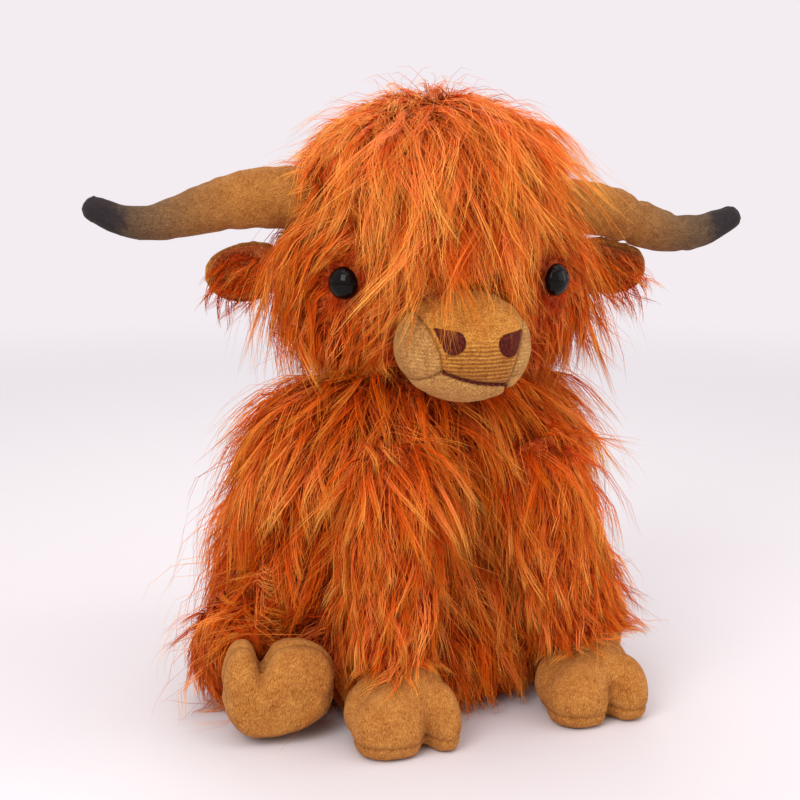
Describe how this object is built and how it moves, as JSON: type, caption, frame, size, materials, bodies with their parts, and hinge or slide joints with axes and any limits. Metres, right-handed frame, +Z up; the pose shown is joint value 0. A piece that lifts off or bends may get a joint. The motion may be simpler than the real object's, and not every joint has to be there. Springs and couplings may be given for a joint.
{
  "type": "plush cow",
  "caption": "Seated plush highland cow with long shaggy fur, wide stuffed horns, a padded knit muzzle and soft sewn-on legs, stuffed with fibre and weighted at the seat.",
  "frame": {"origin": "middle of the seat panel's underside, on the surface that the toy sits on", "axes": "-Y is the way the body faces, +X the cow's left, +Z up"},
  "size_m": [0.3161, 0.2152, 0.292],
  "materials": {
    "long_fur": "long shaggy rust orange pile",
    "short_plush": "short tan plush",
    "knit_plush": "short tan plush with fine knit ribs",
    "ear_lining": "dark rust short plush",
    "embroidery": "dark brown satin stitch",
    "eye": "polished black dome",
    "eye_washer": "plain moulded",
    "filling": "loose polyester fibre",
    "pellet_bag": "woven bag full of plastic pellets",
    "seat_cloth": "flat short-pile cloth"
  },
  "bodies": {
    "torso": {"torso_cover": "long_fur", "torso_filling": "filling", "pellet_bag": "pellet_bag", "seat_panel": "seat_cloth"},
    "head": {"head_cover": "long_fur", "head_filling": "filling", "forelock": "long_fur", "muzzle_nose_panel": "knit_plush", "muzzle_cheek_right": "knit_plush", "muzzle_cheek_left": "knit_plush", "muzzle_chin_panel": "knit_plush", "muzzle_filling": "filling", "nostril_right": "embroidery", "nostril_left": "embroidery", "mouth_stitch": "embroidery", "eye_right": "eye", "eye_left": "eye", "eye_washer_right": "eye_washer", "eye_washer_left": "eye_washer", "horn_right": "short_plush", "horn_left": "short_plush"},
    "ear_right": {"ear_front_right": "ear_lining", "ear_back_right": "short_plush"},
    "ear_left": {"ear_front_left": "ear_lining", "ear_back_left": "short_plush"},
    "front_right": {"front_leg_right": "long_fur", "front_leg_right_hoof": "short_plush", "front_leg_right_sole": "short_plush"},
    "front_left": {"front_leg_left": "long_fur", "front_leg_left_hoof": "short_plush", "front_leg_left_sole": "short_plush"},
    "hind_right": {"hind_leg_right": "long_fur", "hind_leg_right_hoof": "short_plush", "hind_leg_right_sole": "short_plush"},
    "hind_left": {"hind_leg_left": "long_fur", "hind_leg_left_hoof": "short_plush", "hind_leg_left_sole": "short_plush"},
    "tail_body": {"tail": "long_fur", "tail_tuft": "long_fur"}
  },
  "joints": [
    {"name": "head_turn", "type": "hinge", "parent": "torso", "child": "head", "pos_m": [0, -0.035, 0.148], "axis": [0, 0, 1], "range_deg": [-12, 33], "stiffness_Nm_per_rad": 0.1},
    {"name": "ear_right_flop", "type": "hinge", "parent": "head", "child": "ear_right", "pos_m": [-0.06911, -0.01294, 0.21586], "axis": [0.1908, 0.9816, 0], "range_deg": [-30, 6], "stiffness_Nm_per_rad": 0.02},
    {"name": "ear_left_flop", "type": "hinge", "parent": "head", "child": "ear_left", "pos_m": [0.07234, -0.04043, 0.21586], "axis": [0.1908, 0.9816, 0], "range_deg": [-6, 30], "stiffness_Nm_per_rad": 0.02},
    {"name": "front_right_lift", "type": "hinge", "parent": "torso", "child": "front_right", "pos_m": [-0.03732, -0.07461, 0.12954], "axis": [-1, 0, 0], "range_deg": [0, 45], "stiffness_Nm_per_rad": 0.05},
    {"name": "front_left_lift", "type": "hinge", "parent": "torso", "child": "front_left", "pos_m": [0.02553, -0.07822, 0.12831], "axis": [-1, 0, 0], "range_deg": [0, 45], "stiffness_Nm_per_rad": 0.05},
    {"name": "hind_right_lift", "type": "hinge", "parent": "torso", "child": "hind_right", "pos_m": [-0.09346, -0.00628, 0.03683], "axis": [-1, 0, 0], "range_deg": [0, 40], "stiffness_Nm_per_rad": 0.05},
    {"name": "hind_left_lift", "type": "hinge", "parent": "torso", "child": "hind_left", "pos_m": [0.09346, -0.00628, 0.03683], "axis": [-1, 0, 0], "range_deg": [0, 18], "stiffness_Nm_per_rad": 0.05},
    {"name": "tail_lift", "type": "hinge", "parent": "torso", "child": "tail_body", "pos_m": [0, 0.06658, 0.09053], "axis": [1, 0, 0], "range_deg": [0, 60]}
  ]
}
